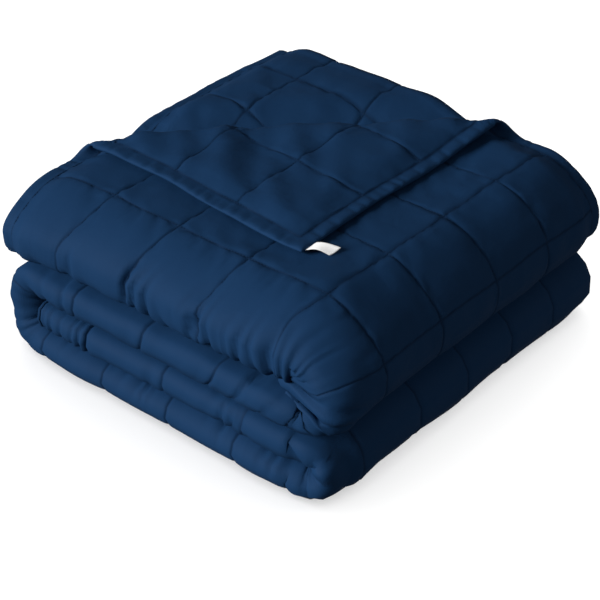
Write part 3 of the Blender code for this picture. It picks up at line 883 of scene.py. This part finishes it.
def flat_blanket():
    """The flat blanket as a grid, with extra lines round the turned corner."""
    flat = bmesh.new()
    squares_grid(flat)
    start = on_flat_blanket(LINE_START)
    run = on_flat_blanket(LINE_END) - start
    normal = Vector((-run.y, run.x, 0.0)).normalized()
    turn_length = math.pi * 0.5 * (CORNER_RADIUS_END + CORNER_RADIUS_EDGE)
    for number in range(TURN_LINES + 1):
        place = start + normal * turn_length * number / TURN_LINES
        corner = [f for f in flat.faces if f.calc_center_median().x < OUTER_END
                  and f.calc_center_median().y < TOP_RUN_END]
        edges = {e for f in corner for e in f.edges}
        verts = {v for f in corner for v in f.verts}
        bmesh.ops.bisect_plane(flat, geom=corner + list(edges) + list(verts), dist=1e-4,
                               plane_co=place, plane_no=normal)
    flat.verts.index_update()
    return flat


class Sheet:
    """The flat blanket's grid, and where each of its points lies when it is folded."""

    def __init__(self):
        flat = flat_blanket()
        self.flat = [(v.co.x, v.co.y) for v in flat.verts]
        self.faces = [[v.index for v in f.verts] for f in flat.faces]
        self.rim = []
        for edge in flat.edges:
            if edge.is_boundary:
                loop = edge.link_loops[0]
                self.rim.append((loop.vert.index, loop.link_loop_next.vert.index))
        flat.free()
        self.middle = [middle_of_sheet(*place) for place in self.flat]
        self.normal = [sheet_normal(*place) for place in self.flat]
        self.half = [half_thickness(*place) for place in self.flat]

    def both_sides(self):
        """Points of the two faces: first all of the upper face, then all of the lower."""
        shifts = [n * h for n, h in zip(self.normal, self.half)]
        upper = [m + s for m, s in zip(self.middle, shifts)]
        lower = [m - s for m, s in zip(self.middle, shifts)]
        return upper + lower

    def shell_faces(self):
        count = len(self.flat)
        faces = [list(face) for face in self.faces]
        faces += [[i + count for i in reversed(face)] for face in self.faces]
        faces += [[b, a, a + count, b + count] for a, b in self.rim]
        return faces


def clearances(points, directions, faces):
    """How far each point can move outwards before it meets another layer."""
    tree = BVHTree.FromPolygons(points, faces)
    free = []
    for point, direction in zip(points, directions):
        hit = tree.ray_cast(point + direction * LOOK_FROM, direction, LOOK_OUT)
        free.append(LOOK_OUT if hit[0] is None else hit[3])
    return free


def plumped(points, faces, free, hold):
    """Let the cloth swell and wrinkle between its seams, and return where it comes to rest.

    hold is how firmly each point is held, from 0 to 1, and free how far it may move.
    """
    scene = bpy.context.scene
    mesh = bpy.data.meshes.new("swelling")
    mesh.from_pydata(points, [], faces)
    swelling = bpy.data.objects.new("swelling", mesh)
    scene.collection.objects.link(swelling)
    group = swelling.vertex_groups.new(name="held")
    for index, weight in enumerate(hold):
        if weight > 0.0:
            group.add([index], weight, "REPLACE")
    cloth = swelling.modifiers.new("swell", "CLOTH")
    rules = cloth.settings
    rules.quality = CLOTH_QUALITY
    rules.mass = CLOTH_MASS
    rules.tension_stiffness = rules.compression_stiffness = CLOTH_STIFFNESS
    rules.shear_stiffness = CLOTH_SHEAR
    rules.bending_stiffness = CLOTH_BENDING
    rules.tension_damping = rules.compression_damping = CLOTH_DAMPING
    rules.shear_damping = CLOTH_DAMPING
    rules.air_damping = CLOTH_AIR_DAMPING
    rules.vertex_group_mass = "held"
    rules.pin_stiffness = 1.0
    rules.shrink_min = -CLOTH_SLACK
    rules.use_pressure = True
    rules.uniform_pressure_force = CLOTH_PRESSURE
    rules.effector_weights.gravity = 0.0
    cloth.collision_settings.use_collision = False
    cloth.collision_settings.use_self_collision = False
    cloth.point_cache.frame_start = 1
    cloth.point_cache.frame_end = CLOTH_FRAMES
    for number in range(1, CLOTH_FRAMES + 1):
        scene.frame_set(number)
    graph = bpy.context.evaluated_depsgraph_get()
    moved = swelling.evaluated_get(graph).data
    rested = []
    for index, vert in enumerate(moved.vertices):
        shift = vert.co - points[index]
        limit = min(CLOTH_REACH, CLOTH_ROOM * free[index])
        if shift.length > limit:
            shift = shift.normalized() * limit
        rested.append(points[index] + shift)
    scene.frame_set(1)
    bpy.data.objects.remove(swelling)
    return rested


def pressed(point):
    """Press the underside flat where it lies on the surface."""
    if point.z < FLAT_BELOW:
        point.z = 0.0
    return point


def placed(point):
    """From the shaping frame to the part's own frame."""
    return point - Vector((CENTRE_X, CENTRE_Y, 0.0))


def make_piece(name, mesh, material):
    """A finished piece at the origin, which rides on the body and has its slot's finish."""
    piece = bpy.data.objects.new(name, mesh)
    bpy.context.scene.collection.objects.link(piece)
    mesh.materials.clear()
    mesh.materials.append(material)
    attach(piece, "root")
    BUILT["pieces"].append(piece)
    return piece


# ---------------------------------------------------------------- finishes


class Nodes:
    """A material's node tree, built by short calls."""

    def __init__(self, name):
        self.material = bpy.data.materials.new(name)
        self.material.use_nodes = True
        self.tree = self.material.node_tree
        self.shader = self.tree.nodes["Principled BSDF"]

    def add(self, kind, values=(), links=()):
        node = self.tree.nodes.new(kind)
        for name, value in dict(values).items():
            if name in node.inputs:
                node.inputs[name].default_value = value
            else:
                setattr(node, name, value)
        for name, source in dict(links).items():
            self.link(source, node.inputs[name])
        return node

    def link(self, source, target):
        self.tree.links.new(source, target)

    def blend(self, share, first, second):
        """Mix two colours by a share; each is a value or another node's output."""
        node = self.add("ShaderNodeMix", {"data_type": "RGBA"})
        for index, source in ((0, share), (6, first), (7, second)):
            if isinstance(source, bpy.types.NodeSocket):
                self.link(source, node.inputs[index])
            else:
                node.inputs[index].default_value = source
        return node.outputs[2]

    def noise(self, spot, scale, detail):
        values = {"Scale": scale, "Detail": detail}
        return self.add("ShaderNodeTexNoise", values, {"Vector": spot})

    def colour(self, source):
        self.link(source, self.shader.inputs["Base Color"])

    def set(self, **values):
        for name, value in values.items():
            self.shader.inputs[name.replace("_", " ")].default_value = value


def darker(colour, share):
    return [share * part for part in colour[:3]] + [1.0]


def cover_finish(colours):
    """Brushed navy microfibre: fine weave, soft nap and a slight sheen; darkened along its
    seams with the thread's colour and painted shade.
    """
    nodes = Nodes("navy_microfibre")
    spot = nodes.add("ShaderNodeUVMap", {"uv_map": "flat"}).outputs[0]
    cloud = nodes.noise(spot, 22.0, 4.0)
    nap = nodes.noise(spot, 900.0, 2.0)
    tone = nodes.add("ShaderNodeMix", {"data_type": "FLOAT"})
    tone.inputs[0].default_value = 0.35
    nodes.link(cloud.outputs[0], tone.inputs[2])
    nodes.link(nap.outputs[0], tone.inputs[3])
    cloth = nodes.blend(tone.outputs[0], colours.cover, colours.cover_worn)
    # Near each seam the cover turns to the thread's colour: partly the thread itself,
    # partly painted shade in the seam's crease.
    filled = nodes.add("ShaderNodeAttribute", {"attribute_name": "filled"})
    nodes.colour(nodes.blend(filled.outputs["Fac"], colours.thread, cloth))

    weave = nodes.add("ShaderNodeMath", {"operation": "ADD"})
    for number, direction in enumerate("XY"):
        yarns = nodes.add("ShaderNodeTexWave", {
            "wave_type": "BANDS", "bands_direction": direction, "Scale": 420.0,
            "Distortion": 1.5, "Detail": 1.0}, {"Vector": spot})
        nodes.link(yarns.outputs["Fac"], weave.inputs[number])
    crinkle = nodes.add("ShaderNodeTexNoise", {"Scale": 75.0, "Detail": 3.0,
                        "Roughness": 0.45, "Distortion": 0.6}, {"Vector": spot})
    fine = nodes.add("ShaderNodeBump", {"Strength": 0.35, "Distance": 0.0003})
    nodes.link(weave.outputs[0], fine.inputs["Height"])
    broad = nodes.add("ShaderNodeBump", {"Strength": 0.30, "Distance": 0.0014})
    nodes.link(crinkle.outputs[0], broad.inputs["Height"])
    nodes.link(fine.outputs[0], broad.inputs["Normal"])
    nodes.link(broad.outputs[0], nodes.shader.inputs["Normal"])

    gloss = nodes.add("ShaderNodeMapRange", {"To Min": 0.52, "To Max": 0.68},
                      {"Value": cloud.outputs[0]})
    nodes.link(gloss.outputs[0], nodes.shader.inputs["Roughness"])
    nodes.set(IOR=1.13, Specular_IOR_Level=0.5, Sheen_Weight=0.006, Sheen_Roughness=0.45,
              Sheen_Tint=(0.30, 0.55, 1.0, 1.0))
    return nodes.material


def thread_finish(colours):
    """Twisted polyester thread."""
    nodes = Nodes("navy_thread")
    spot = nodes.add("ShaderNodeTexCoord").outputs["Object"]
    twist = nodes.noise(spot, 1500.0, 2.0)
    nodes.colour(nodes.blend(twist.outputs[0], colours.thread, colours.cover))
    nodes.set(Roughness=0.80, Specular_IOR_Level=0.15)
    return nodes.material


def label_finish(colours):
    """White woven satin tape with a fine rib."""
    nodes = Nodes("white_satin_tape")
    spot = nodes.add("ShaderNodeUVMap", {"uv_map": "flat"}).outputs[0]
    rib = nodes.add("ShaderNodeTexWave", {"wave_type": "BANDS", "bands_direction": "X",
                    "Scale": 500.0, "Distortion": 0.6}, {"Vector": spot})
    soil = nodes.noise(spot, 120.0, 3.0)
    soiled = darker(colours.label, 0.93)
    nodes.colour(nodes.blend(soil.outputs[0], colours.label, soiled))
    bump = nodes.add("ShaderNodeBump", {"Strength": 0.3, "Distance": 0.0002})
    nodes.link(rib.outputs["Fac"], bump.inputs["Height"])
    nodes.link(bump.outputs[0], nodes.shader.inputs["Normal"])
    nodes.set(Roughness=0.5, Specular_IOR_Level=0.35, Sheen_Weight=0.1)
    return nodes.material


def floor_finish(tone):
    """Plain matt floor."""
    nodes = Nodes("pale_floor")
    spot = nodes.add("ShaderNodeTexCoord").outputs["Object"]
    grain = nodes.add("ShaderNodeTexNoise", {"Scale": 6.0}, {"Vector": spot})
    nodes.colour(nodes.blend(grain.outputs[0], tone, darker(tone, 0.985)))
    nodes.set(Roughness=0.9, Specular_IOR_Level=0.1)
    return nodes.material


# ---------------------------------------------------------------- stitching


def shown_seams(sheet, points, faces):
    """Lines of points along every seam, on both faces, where the seam shows."""
    tree = BVHTree.FromPolygons(points, faces)
    count = len(sheet.flat)
    lines = []
    keys = {}
    for index, (across, along) in enumerate(sheet.flat):
        for number, distance in enumerate((across, along)):
            gap, seam = from_seam(distance)
            last = SQUARES_WIDE if number == 0 else SQUARES_LONG
            inside = from_hem(across, along) > HEM - ON_SEAM
            if gap < ON_SEAM and 0 <= seam <= last and inside:
                keys.setdefault((number, seam), []).append(index)
    for (number, seam), indices in sorted(keys.items()):
        indices.sort(key=lambda i: sheet.flat[i][1 - number])
        for side, offset in ((1.0, 0), (-1.0, count)):
            line = []
            for index in indices:
                normal = sheet.normal[index] * side
                point = points[index + offset] + normal * THREAD_RISE
                start = point + normal * SEAM_LOOKS_FROM
                hit = tree.ray_cast(start, normal, SEAM_NEEDS_ROOM)
                if hit[0] is None and point.z > SEAM_LOWEST_Z:
                    line.append(placed(point))
                elif line:
                    lines.append(line)
                    line = []
            lines.append(line)
    return [line for line in lines if len(line) > 2]


def stitch_tree(material):
    """Geometry Nodes that set one stitch after another along each line."""
    tree = bpy.data.node_groups.new("stitches", "GeometryNodeTree")
    face = tree.interface
    face.new_socket("Geometry", in_out="INPUT", socket_type="NodeSocketGeometry")
    for name in ("Pitch", "Length", "Width"):
        face.new_socket(name, in_out="INPUT", socket_type="NodeSocketFloat")
    face.new_socket("Geometry", in_out="OUTPUT", socket_type="NodeSocketGeometry")
    nodes, links = tree.nodes, tree.links
    given, result = nodes.new("NodeGroupInput"), nodes.new("NodeGroupOutput")
    spots = nodes.new("GeometryNodeCurveToPoints")
    spots.mode = "LENGTH"
    links.new(given.outputs["Geometry"], spots.inputs["Curve"])
    links.new(given.outputs["Pitch"], spots.inputs["Length"])
    stitch = nodes.new("GeometryNodeMeshIcoSphere")
    stitch.inputs["Subdivisions"].default_value = 1
    stitch.inputs["Radius"].default_value = 0.5
    size = nodes.new("ShaderNodeCombineXYZ")
    links.new(given.outputs["Width"], size.inputs["X"])
    links.new(given.outputs["Width"], size.inputs["Y"])
    links.new(given.outputs["Length"], size.inputs["Z"])
    laid = nodes.new("GeometryNodeInstanceOnPoints")
    links.new(spots.outputs["Points"], laid.inputs["Points"])
    links.new(stitch.outputs["Mesh"], laid.inputs["Instance"])
    links.new(spots.outputs["Rotation"], laid.inputs["Rotation"])
    links.new(size.outputs[0], laid.inputs["Scale"])
    real = nodes.new("GeometryNodeRealizeInstances")
    links.new(laid.outputs[0], real.inputs[0])
    finish = nodes.new("GeometryNodeSetMaterial")
    finish.inputs["Material"].default_value = material
    links.new(real.outputs[0], finish.inputs["Geometry"])
    links.new(finish.outputs[0], result.inputs["Geometry"])
    return tree


def mesh_from_tree(carrier, tree, values):
    """Run a node tree on a carrier object and keep its result as a plain mesh."""
    modifier = carrier.modifiers.new(tree.name, "NODES")
    modifier.node_group = tree
    sockets = {item.name: item.identifier for item in tree.interface.items_tree
               if item.in_out == "INPUT"}
    for name, value in values.items():
        modifier[sockets[name]] = value
    graph = bpy.context.evaluated_depsgraph_get()
    mesh = bpy.data.meshes.new_from_object(carrier.evaluated_get(graph), depsgraph=graph)
    carrier.modifiers.remove(modifier)
    bpy.data.objects.remove(carrier)
    return mesh


# ---------------------------------------------------------------- operators

BUILT = {"pieces": []}


class BLANKET_OT_cover(bpy.types.Operator):
    """Builds the folded, quilted blanket."""

    bl_idname = "blanket.cover"
    bl_label = "Quilted blanket"

    def execute(self, context):
        cloth = context.scene.blanket_cloth
        noise.seed_set(STRAY_SEED)
        sheet = Sheet()
        count = len(sheet.flat)
        points = sheet.both_sides()
        faces = sheet.shell_faces()
        directions = sheet.normal + [-n for n in sheet.normal]
        free = clearances(points, directions, faces)
        for index in range(2 * count):
            side = 1 if index < count else -1
            place = index % count
            lift = creases(*sheet.flat[place], side, sheet.half[place], cloth)
            if lift > 0.0:
                lift = min(lift, CREASE_ROOM * free[index])
                lift *= smooth(free[index], *CREASE_GAPS)
            points[index] = points[index] + directions[index] * lift
        hold = [self.held(*sheet.flat[i % count], free[i]) for i in range(2 * count)]
        points = plumped(points, faces, free, hold)
        points = [pressed(uneven(point, cloth.lean)) for point in points]
        mesh = bpy.data.meshes.new("quilted_blanket")
        mesh.from_pydata([placed(p) for p in points], [], faces)
        layer = mesh.uv_layers.new(name="flat")
        corners = np.empty(len(mesh.loops), dtype=np.int32)
        mesh.loops.foreach_get("vertex_index", corners)
        flat = np.array(sheet.flat + sheet.flat, dtype=np.float32)
        layer.data.foreach_set("uv", flat[corners].ravel())
        # How far each point lies from a seam. This sets the painted shade of the seam's
        # crease in the cover's colour, together with the thread's own colour there.
        filled = mesh.attributes.new("filled", "FLOAT", "POINT")
        shares = [smooth(nearest_seam(*place), *THREAD_SHADE) for place in sheet.flat]
        filled.data.foreach_set("value", np.array(shares + shares, dtype=np.float32))
        mesh.shade_smooth()
        finish = cover_finish(context.scene.blanket_colours)
        piece = make_piece("quilted_blanket", mesh, finish)
        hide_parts("blanket")
        BUILT.update(sheet=sheet, points=points, faces=faces)
        return {"FINISHED"}

    def held(self, across, along, free):
        """How firmly a point is held while the cloth swells.

        It is held on seams and in the hem, and where another layer lies close.
        """
        hemmed = from_hem(across, along) < HEM + SEWN_WITHIN
        sewn = hemmed or nearest_seam(across, along) < SEWN_WITHIN
        return max(float(sewn), 1.0 - smooth(free, *HELD_GAPS))


class BLANKET_OT_stitching(bpy.types.Operator):
    """Sews a row of stitches along every seam that shows."""

    bl_idname = "blanket.stitching"
    bl_label = "Stitching"

    def execute(self, context):
        cloth = context.scene.blanket_cloth
        curve = bpy.data.curves.new("seam_lines", "CURVE")
        curve.dimensions = "3D"
        for line in shown_seams(BUILT["sheet"], BUILT["points"], BUILT["faces"]):
            spline = curve.splines.new("POLY")
            spline.points.add(len(line) - 1)
            spline.points.foreach_set("co", [c for p in line for c in (*p, 1.0)])
        carrier = bpy.data.objects.new("seam_lines", curve)
        context.scene.collection.objects.link(carrier)
        finish = thread_finish(context.scene.blanket_colours)
        mesh = mesh_from_tree(carrier, stitch_tree(finish), {
            "Pitch": cloth.stitch_pitch, "Length": cloth.stitch_length,
            "Width": cloth.thread_width})
        if not mesh.polygons:
            raise RuntimeError("no seam shows, so nothing was stitched")
        mesh.name = "seam_stitching"
        make_piece("seam_stitching", mesh, finish)
        return {"FINISHED"}


class BLANKET_OT_label(bpy.types.Operator):
    """Builds the bare label that is sewn in at the turned corner."""

    bl_idname = "blanket.label"
    bl_label = "Label"

    def execute(self, context):
        noise.seed_set(STRAY_SEED)
        hem = middle_of_sheet(0.0, 0.0)
        sideways = (middle_of_sheet(0.0, LABEL_HEM_RUN) - hem).normalized()
        outwards = Vector((sideways.y, -sideways.x, 0.0)).normalized()
        ahead = Vector((math.cos(LABEL_HEADING), math.sin(LABEL_HEADING), 0.0))
        root = hem + sideways * LABEL_ALONG_HEM + outwards * LABEL_OFF_HEM
        label = bmesh.new()
        uv = label.loops.layers.uv.new("flat")
        flat = {}
        sides = []
        for level in (1.0, -1.0):
            grid = []
            for step in range(LABEL_STEPS + 1):
                share = step / LABEL_STEPS
                rise = LABEL_ARCH * math.sin(0.9 * math.pi * share) - LABEL_DROOP * share
                row = []
                for place in range(LABEL_STEPS_ACROSS + 1):
                    wide = 2.0 * place / LABEL_STEPS_ACROSS - 1.0
                    curl = LABEL_CURL * share * wide ** 2
                    curl += LABEL_RIPPLE * math.sin(6.0 * share + wide)
                    centre = root + ahead * LABEL_LENGTH * share
                    centre += sideways * wide * LABEL_HALF_WIDTH
                    centre.z += rise + curl + level * LABEL_HALF_THICKNESS
                    vert = label.verts.new(placed(centre))
                    flat[vert] = (wide * LABEL_HALF_WIDTH, share * LABEL_LENGTH)
                    row.append(vert)
                grid.append(row)
            sides.append(grid)
        for level, grid in enumerate(sides):
            for row, after in zip(grid, grid[1:]):
                for i in range(LABEL_STEPS_ACROSS):
                    loop = [row[i], row[i + 1], after[i + 1], after[i]]
                    label.faces.new(loop if level == 0 else loop[::-1])
        rim_top, rim_under = (self.rim(grid) for grid in sides)
        for i, vert in enumerate(rim_top):
            j = (i + 1) % len(rim_top)
            label.faces.new((vert, rim_under[i], rim_under[j], rim_top[j]))
        bmesh.ops.recalc_face_normals(label, faces=label.faces[:])
        for face in label.faces:
            for loop in face.loops:
                loop[uv].uv = flat[loop.vert]
        mesh = bpy.data.meshes.new("bare_label")
        label.to_mesh(mesh)
        label.free()
        mesh.shade_smooth()
        finish = label_finish(context.scene.blanket_colours)
        piece = make_piece("bare_label", mesh, finish)
        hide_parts("care_label")
        return {"FINISHED"}

    def rim(self, grid):
        """The points round the outside of one face, in order."""
        far_side = [row[-1] for row in grid[1:]]
        near_side = [row[0] for row in grid[-2:0:-1]]
        return grid[0] + far_side + grid[-1][-2::-1] + near_side


class BLANKET_OT_stage(bpy.types.Operator):
    """Sets out the pale floor, the soft lights and the camera."""

    bl_idname = "blanket.stage"
    bl_label = "Stage"

    def execute(self, context):
        scene, stage = context.scene, context.scene.blanket_stage
        lens = bpy.data.cameras.new("camera")
        lens.sensor_width = CAMERA_SENSOR
        lens.lens = CAMERA_LENS
        lens.clip_end = CAMERA_SEES_TO
        camera = bpy.data.objects.new("camera", lens)
        camera.location = CAMERA_PLACE
        camera.rotation_euler = CAMERA_LOOKS.to_track_quat("-Z", "Y").to_euler()
        scene.collection.objects.link(camera)
        scene.camera = camera

        plane = bmesh.new()
        bmesh.ops.create_grid(plane, x_segments=8, y_segments=8, size=FLOOR_HALF_SIZE)
        mesh = bpy.data.meshes.new("floor")
        plane.to_mesh(mesh)
        plane.free()
        mesh.materials.append(floor_finish(stage.floor_tone))
        floor = bpy.data.objects.new("floor", mesh)
        scene.collection.objects.link(floor)

        # The floor and the label, being white, each take a light of their own, and the
        # floor casts none back on the dark cloth.
        floor.visible_diffuse = floor.visible_glossy = False
        ground = self.lit_together("ground", [floor])
        label = self.lit_together("label", BUILT["pieces"][-1:])
        pieces = self.lit_together("pieces", BUILT["pieces"])
        self.sun("key_light", stage.key_strength, stage.key_spread, KEY_PLACE, pieces)
        self.sun("fill_light", stage.fill_strength, stage.key_spread, FILL_PLACE, pieces)
        self.sun("floor_light", stage.floor_light, stage.floor_spread,
                 FLOOR_LIGHT_PLACE, ground)
        self.sun("floor_glow", stage.floor_glow, stage.key_spread,
                 FLOOR_LIGHT_PLACE, ground, shadows=False)
        self.sun("label_light", stage.label_light, stage.key_spread,
                 FLOOR_LIGHT_PLACE, label)
        world = bpy.data.worlds.new("studio")
        scene.world = world
        world.use_nodes = True
        sky = world.node_tree.nodes["Background"]
        sky.inputs["Color"].default_value = (1.0, 1.0, 1.0, 1.0)
        sky.inputs["Strength"].default_value = stage.sky_strength
        scene.view_settings.view_transform = "Standard"
        return {"FINISHED"}

    def lit_together(self, name, things):
        """A collection of things that one light shines on."""
        group = bpy.data.collections.new(name)
        for thing in things:
            group.objects.link(thing)
        return group

    def sun(self, name, strength, spread, place, lit, shadows=True):
        """Hang a soft sun, aimed at the middle of the blanket, that lights these things."""
        light = bpy.data.lights.new(name, "SUN")
        light.energy = strength
        light.angle = spread
        light.use_shadow = shadows
        lamp = bpy.data.objects.new(name, light)
        lamp.location = place
        lamp.rotation_euler = (LIT_POINT - place).to_track_quat("-Z", "Y").to_euler()
        lamp.light_linking.receiver_collection = lit
        bpy.context.scene.collection.objects.link(lamp)


class BLANKET_PT_panel(bpy.types.Panel):
    """Lists the sizes, the colours and each step of the build."""

    bl_idname = "BLANKET_PT_panel"
    bl_label = "Folded blanket"
    bl_space_type = "VIEW_3D"
    bl_region_type = "UI"
    bl_category = "Blanket"

    def draw(self, context):
        scene = context.scene
        for title, group in (
                ("Cloth", scene.blanket_cloth), ("Colours", scene.blanket_colours),
                ("Stage", scene.blanket_stage)):
            box = self.layout.box()
            box.label(text=title)
            for name in group.__annotations__:
                box.prop(group, name)
        for step in STEPS:
            self.layout.operator(step.bl_idname)


GROUPS = {"blanket_cloth": BlanketCloth, "blanket_colours": BlanketColours,
          "blanket_stage": BlanketStage}
STEPS = (BLANKET_OT_cover, BLANKET_OT_stitching, BLANKET_OT_label, BLANKET_OT_stage)


def register():
    for group in (*GROUPS.values(), *STEPS, BLANKET_PT_panel):
        bpy.utils.register_class(group)
    for name, group in GROUPS.items():
        setattr(bpy.types.Scene, name, PointerProperty(type=group))


def unregister():
    for name in GROUPS:
        delattr(bpy.types.Scene, name)
    for group in (BLANKET_PT_panel, *STEPS, *GROUPS.values()):
        bpy.utils.unregister_class(group)


def main():
    register()
    for step in STEPS:
        area, name = step.bl_idname.split(".")
        getattr(getattr(bpy.ops, area), name)()


if __name__ == "__main__":
    main()
